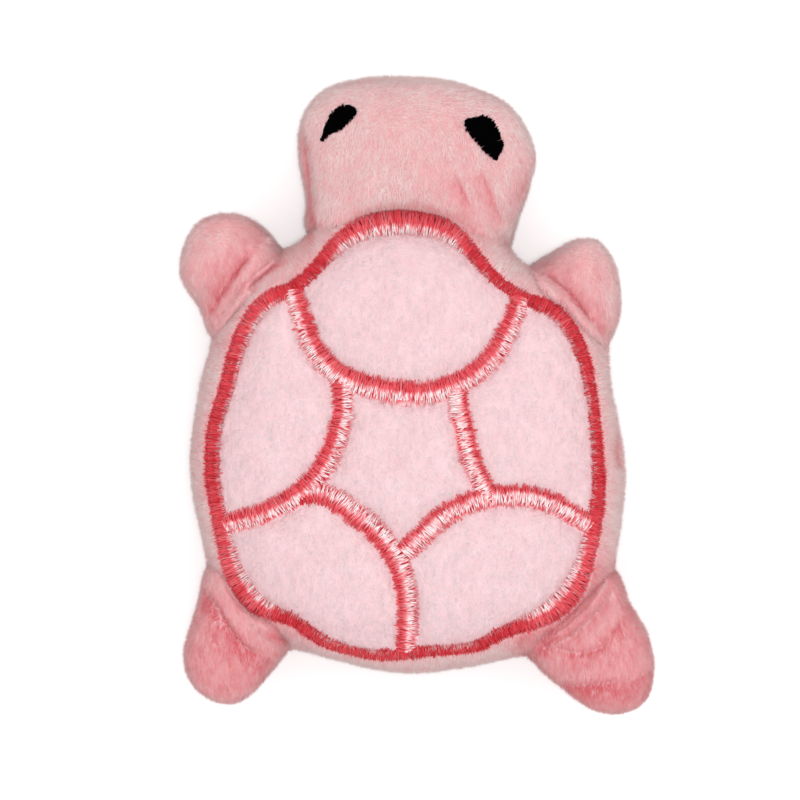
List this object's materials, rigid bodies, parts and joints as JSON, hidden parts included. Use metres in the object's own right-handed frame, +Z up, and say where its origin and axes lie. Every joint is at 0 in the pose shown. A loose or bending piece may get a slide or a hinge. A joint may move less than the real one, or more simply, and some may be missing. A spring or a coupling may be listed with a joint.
{
  "type": "squeaky plush dog toy",
  "caption": "Plush turtle dog toy lying on its belly, with an embroidered quilted shell over a squeaker, and a soft head and legs that flex at their roots.",
  "frame": {"origin": "on the floor, under the middle of the toy as it lies on its belly", "axes": "+Y runs from the rear to the head, +Z is up through the shell, +X is on the right when the toy is seen from above with its head up"},
  "size_m": [0.1044, 0.1402, 0.036],
  "materials": {
    "plush": "short pink polyester plush, soft sheen",
    "shell_plush": "shorter pale pink polyester plush, quilted",
    "pink_thread": "glossy rayon embroidery thread in satin stitch",
    "black_thread": "glossy black embroidery thread in satin stitch",
    "sewing_thread": "pink polyester sewing thread",
    "stuffing": "white polyester fibre stuffing",
    "bulb_plastic": "blow-moulded natural polyethylene",
    "housing_plastic": "injection-moulded white polypropylene",
    "reed_film": "thin polyester film"
  },
  "bodies": {
    "torso": {"torso_back_panel": "plush", "torso_belly_panel": "plush", "torso_lower_stuffing": "stuffing", "torso_upper_stuffing": "stuffing", "squeaker_bulb": "bulb_plastic", "squeaker_housing": "housing_plastic", "squeaker_reed_block": "housing_plastic", "closing_stitch": "sewing_thread"},
    "crown": {"shell_panel": "shell_plush", "border_stitch": "pink_thread", "neck_scute_stitch": "pink_thread", "left_scute_stitch": "pink_thread", "right_scute_stitch": "pink_thread", "rear_right_scute_stitch": "pink_thread", "rear_left_scute_stitch": "pink_thread"},
    "head": {"head_top_panel": "plush", "head_under_panel": "plush", "head_stuffing": "stuffing", "left_eye": "black_thread", "right_eye": "black_thread"},
    "front_left_leg": {"front_left_leg_top_panel": "plush", "front_left_leg_under_panel": "plush", "front_left_leg_stuffing": "stuffing"},
    "front_right_leg": {"front_right_leg_top_panel": "plush", "front_right_leg_under_panel": "plush", "front_right_leg_stuffing": "stuffing"},
    "rear_left_leg": {"rear_left_leg_top_panel": "plush", "rear_left_leg_under_panel": "plush", "rear_left_leg_stuffing": "stuffing"},
    "rear_right_leg": {"rear_right_leg_top_panel": "plush", "rear_right_leg_under_panel": "plush", "rear_right_leg_stuffing": "stuffing"},
    "reed": {"squeaker_reed": "reed_film"}
  },
  "joints": [
    {"name": "squeeze", "type": "slide", "parent": "torso", "child": "crown", "axis": [0, 0, -1], "range_m": [0, 0.006], "stiffness_N_per_m": 250, "springref_m": -0.0005, "deforming": ["torso_upper_stuffing", "squeaker_bulb"]},
    {"name": "head_nod", "type": "hinge", "parent": "torso", "child": "head", "pos_m": [0, 0.038, 0.015], "axis": [1, 0, 0], "range_deg": [-15, 15], "stiffness_Nm_per_rad": 0.1},
    {"name": "front_left_leg_flap", "type": "hinge", "parent": "torso", "child": "front_left_leg", "pos_m": [-0.037, 0.025, 0.015], "axis": [0.6293, 0.7771, 0], "range_deg": [-15, 15], "stiffness_Nm_per_rad": 0.05},
    {"name": "front_right_leg_flap", "type": "hinge", "parent": "torso", "child": "front_right_leg", "pos_m": [0.0345, 0.0195, 0.015], "axis": [0.766, -0.6428, 0], "range_deg": [-15, 15], "stiffness_Nm_per_rad": 0.05},
    {"name": "rear_left_leg_flap", "type": "hinge", "parent": "torso", "child": "rear_left_leg", "pos_m": [-0.038, -0.048, 0.015], "axis": [-0.848, 0.5299, 0], "range_deg": [-15, 15], "stiffness_Nm_per_rad": 0.05},
    {"name": "rear_right_leg_flap", "type": "hinge", "parent": "torso", "child": "rear_right_leg", "pos_m": [0.0355, -0.0475, 0.015], "axis": [-0.766, -0.6428, 0], "range_deg": [-15, 15], "stiffness_Nm_per_rad": 0.05},
    {"name": "reed_flex", "type": "hinge", "parent": "torso", "child": "reed", "pos_m": [-0.00155, -0.012, 0.0065], "axis": [0, 1, 0], "range_deg": [-2, 6], "stiffness_Nm_per_rad": 0.0001}
  ]
}
